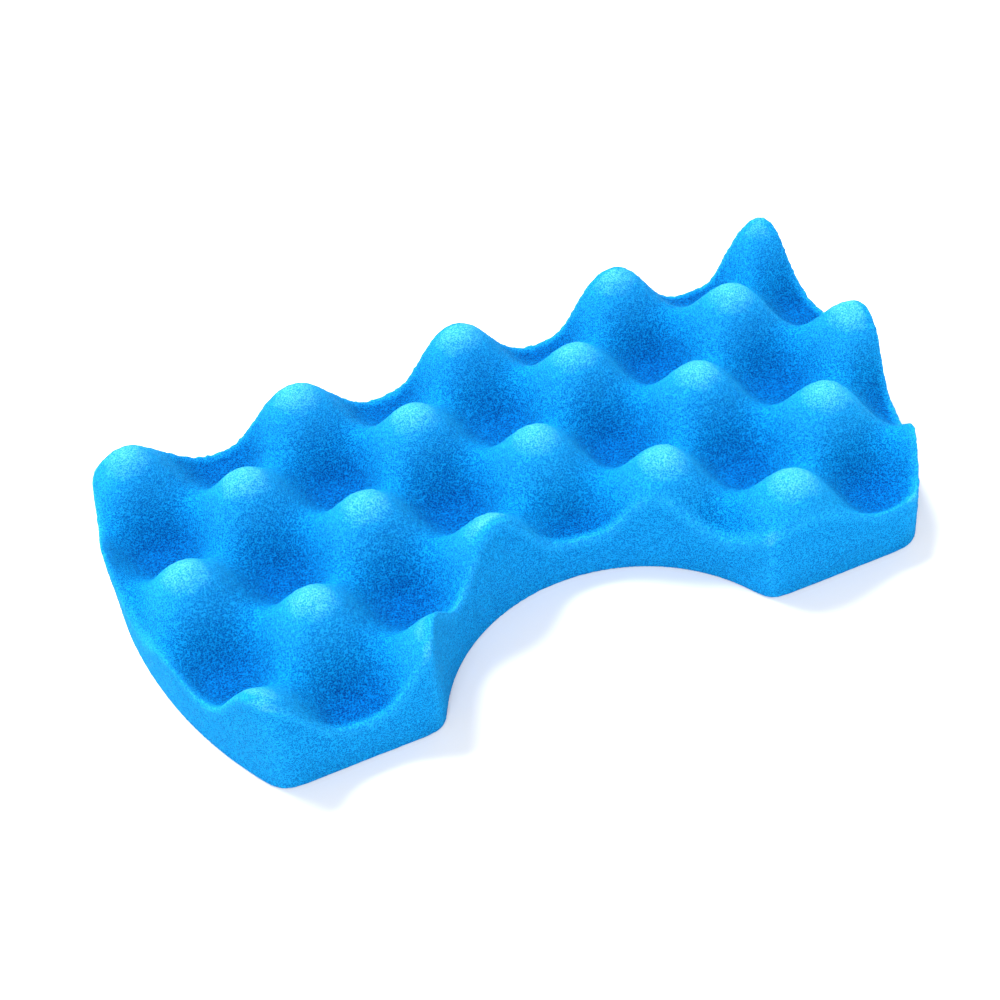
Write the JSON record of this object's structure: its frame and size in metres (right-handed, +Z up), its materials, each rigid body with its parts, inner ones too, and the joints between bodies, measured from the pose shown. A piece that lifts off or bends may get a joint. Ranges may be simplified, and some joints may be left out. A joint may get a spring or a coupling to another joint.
{
  "type": "sponge filter pad",
  "caption": "Flat-backed open-cell foam filter pad with an egg-crate face, two round ends and a wide round notch in its front edge.",
  "frame": {"origin": "middle of the bounding box on the flat underside", "axes": "+Z up out of the flat underside towards the egg-crate face, X along the pad's length, -Y towards the notched front edge, +Y towards the straight back edge"},
  "size_m": [0.16, 0.081, 0.024],
  "materials": {
    "blue_foam": "matte open-cell polyurethane foam, fine pores, azure blue"
  },
  "bodies": {
    "root": {"foam_pad": "blue_foam"}
  },
  "joints": []
}
